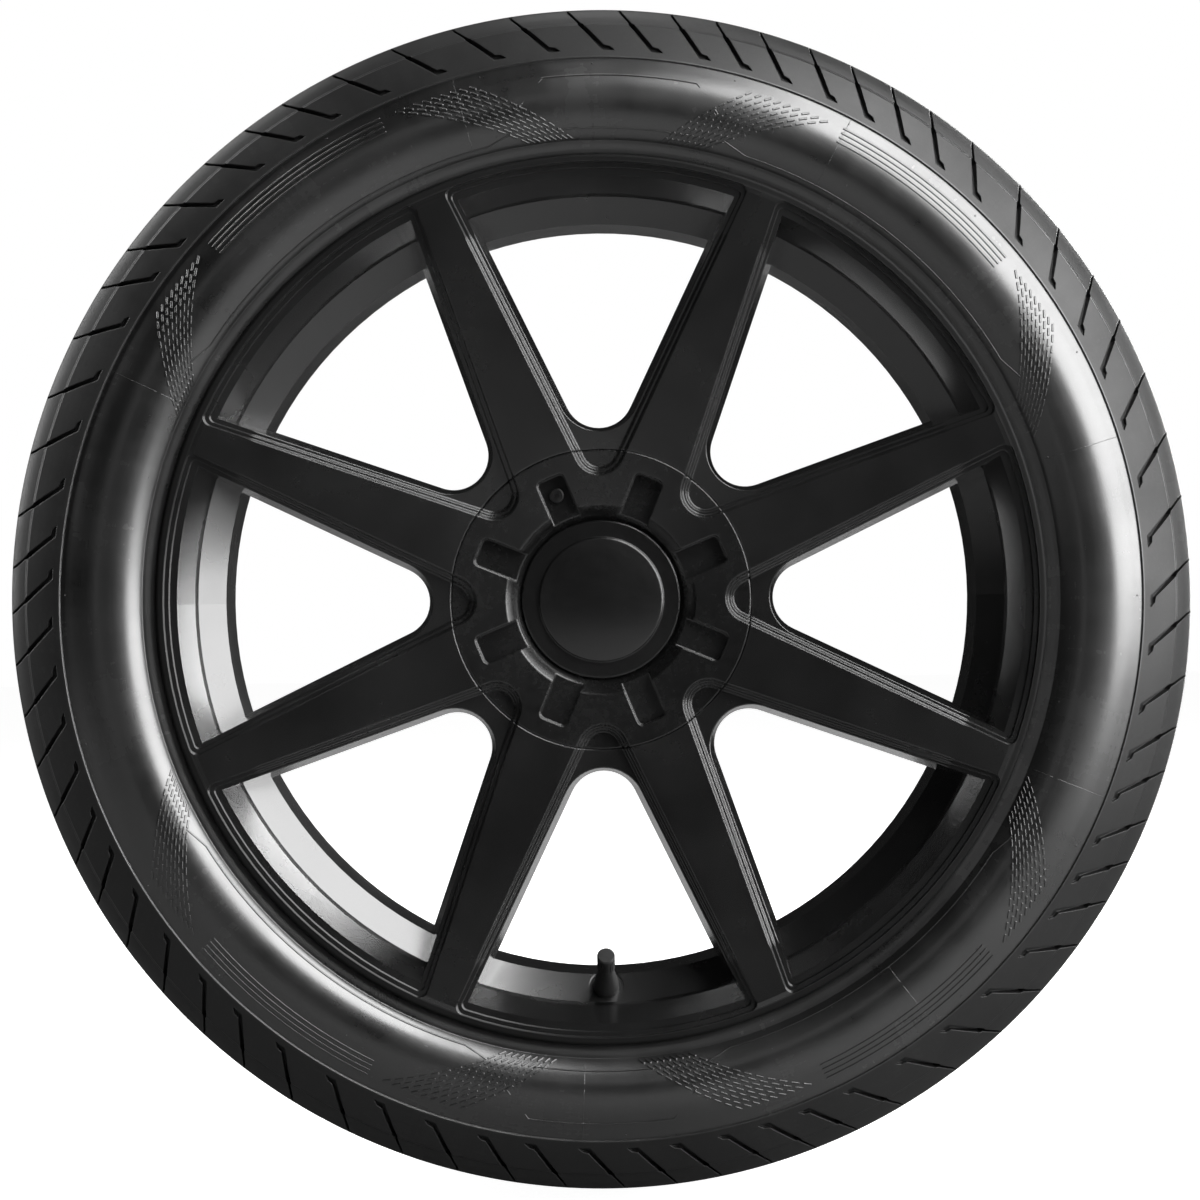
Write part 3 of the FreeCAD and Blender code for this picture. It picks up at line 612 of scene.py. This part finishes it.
def centre_cap():
    """The cap in the middle: a shallow dome on a flat ring, spun in fine steps."""
    section = [DOME.at_r(r)[:2] for r in (0.0, 5.0, 10.0, 15.0, 20.0, 25.0, 30.0, 34.0, 37.0, 39.3)]
    section += [(DOME_FOOT, DOME_RADIUS), (CAP_FACE, DOME_RADIUS), (CAP_FACE, CAP_RADIUS - 0.4),
                (CAP_FACE + 0.4, CAP_RADIUS), (CAP_SEAT, CAP_RADIUS), (CAP_SEAT, CAP_SKIRT),
                (CAP_SKIRT_END, CAP_SKIRT), (CAP_SKIRT_END, CAP_SKIRT_INNER),
                (CAP_SEAT, CAP_SKIRT_INNER), (CAP_SEAT, 0.0)]
    bm = bmesh.new()
    line = [bm.verts.new((0.0, y * MM, r * MM)) for y, r in section]
    edges = [bm.edges.new(pair) for pair in zip(line, line[1:])]
    bmesh.ops.spin(bm, geom=line + edges, cent=(0, 0, 0), axis=(0, 1, 0), angle=2 * math.pi,
                   steps=128, use_merge=True)
    bmesh.ops.remove_doubles(bm, verts=bm.verts, dist=1e-6)
    return finished(bm, "centre_cap_body", "cap_plastic", 24.0, nodes=("centre_cap",))


tyre()
relief("sidewall_relief_front", False)
relief("sidewall_relief_back", True)
centre_cap()
for row_of in frame["record"]["subparts"]:
    node_name, node_slot = row_of["node"], row_of["material_slot"]
    if node_name not in ("tyre", "centre_cap"):
        dress(frame["nodes"][node_name], node_slot)


# Camera

camera = bpy.data.objects.new("camera", bpy.data.cameras.new("camera"))
bpy.context.scene.collection.objects.link(camera)
camera.location = (0.0, -2.25, 0.0)
camera.rotation_euler = (math.radians(90.0), math.radians(ROLL), 0.0)
camera.data.sensor_width = 36.0
camera.data.lens = 99.8
camera.data.shift_x = -1.3 / 1200
camera.data.shift_y = -0.7 / 1200
camera.data.clip_start = 0.05
camera.data.clip_end = 60.0
bpy.context.scene.camera = camera


# Lights

def panel(name, clock, tilt, distance, width, height, radiance):
    """A soft panel light: tilt is its angle from straight in front, towards a clock angle."""
    c, t = math.radians(clock), math.radians(tilt)
    side = Vector((math.sin(c), 0.0, math.cos(c)))
    out = side * math.sin(t) + Vector((0, -1, 0)) * math.cos(t)
    along = Vector((math.cos(c), 0.0, -math.sin(c)))
    lamp = bpy.data.lights.new(name, "AREA")
    lamp.shape = "RECTANGLE"
    lamp.size, lamp.size_y = width, height
    lamp.energy = radiance * math.pi * width * height
    holder = bpy.data.objects.new(name, lamp)
    bpy.context.scene.collection.objects.link(holder)
    turn = Matrix((along, out.cross(along), out)).transposed().to_4x4()
    holder.matrix_world = Matrix.Translation(out * distance) @ turn
    holder.visible_camera = False
    return holder


panel("key_strip", 57.0, 55.0, 3.0, 4.2, 2.2, 6.5)
panel("rear_strip", 66.0, 126.0, 3.0, 2.6, 1.3, 20.0)
panel("rear_left", 300.0, 101.0, 3.2, 3.6, 0.7, 9.0)
panel("top_strip", 2.0, 90.0, 3.2, 1.0, 0.8, 5.0)
panel("low_strip", 158.0, 92.0, 3.2, 0.8, 0.8, 6.0)
for frame_clock in (0.0, 90.0, 180.0, 270.0):
    panel(f"front_frame_{frame_clock:.0f}", frame_clock, 21.0, 4.5, 2.8, 0.6, 0.28)


# Floor and background

def is_seen(tree):
    """1 for rays from the camera and rays let through, 0 for the others."""
    path = add(tree, "ShaderNodeLightPath")
    return maths(tree, "MAXIMUM", path.outputs["Is Camera Ray"], path.outputs["Is Transmission Ray"])


def floor():
    bm = bmesh.new()
    bmesh.ops.create_grid(bm, x_segments=1, y_segments=1, size=14.0)
    bmesh.ops.translate(bm, verts=bm.verts, vec=(0, 0, cad_box[0].z))
    mesh = bpy.data.meshes.new("floor")
    bm.to_mesh(mesh)
    bm.free()
    piece = bpy.data.objects.new("floor", mesh)
    bpy.context.scene.collection.objects.link(piece)
    made = bpy.data.materials.new("floor")
    made.use_nodes = True
    tree = made.node_tree
    tree.nodes.clear()
    clouds = use(tree, CLOUDS, Scale=3.0)
    tone = blended(tree, clouds.outputs[0], grey(0.58), grey(0.6))
    diffuse = add(tree, "ShaderNodeBsdfDiffuse", {"Color": tone})
    glow = add(tree, "ShaderNodeEmission", {"Color": grey(1.0), "Strength": 0.97})
    both = add(tree, "ShaderNodeAddShader", {0: diffuse.outputs[0], 1: glow.outputs[0]})
    dim = add(tree, "ShaderNodeBsdfDiffuse", {"Color": grey(0.2)})
    mix = add(tree, "ShaderNodeMixShader", {0: is_seen(tree), 1: dim.outputs[0], 2: both.outputs[0]})
    add(tree, "ShaderNodeOutputMaterial", {"Surface": mix.outputs[0]})
    mesh.materials.append(made)
    return piece


def surroundings():
    world = bpy.data.worlds.new("surroundings")
    bpy.context.scene.world = world
    world.use_nodes = True
    tree = world.node_tree
    tree.nodes.clear()
    white = add(tree, "ShaderNodeBackground", {"Color": grey(1.0), "Strength": 1.0})
    dim = add(tree, "ShaderNodeBackground", {"Color": grey(1.0), "Strength": 0.01})
    mix = add(tree, "ShaderNodeMixShader", {0: is_seen(tree), 1: dim.outputs[0], 2: white.outputs[0]})
    add(tree, "ShaderNodeOutputWorld", {"Surface": mix.outputs[0]})


floor()
surroundings()
bpy.context.scene.view_settings.view_transform = "Standard"
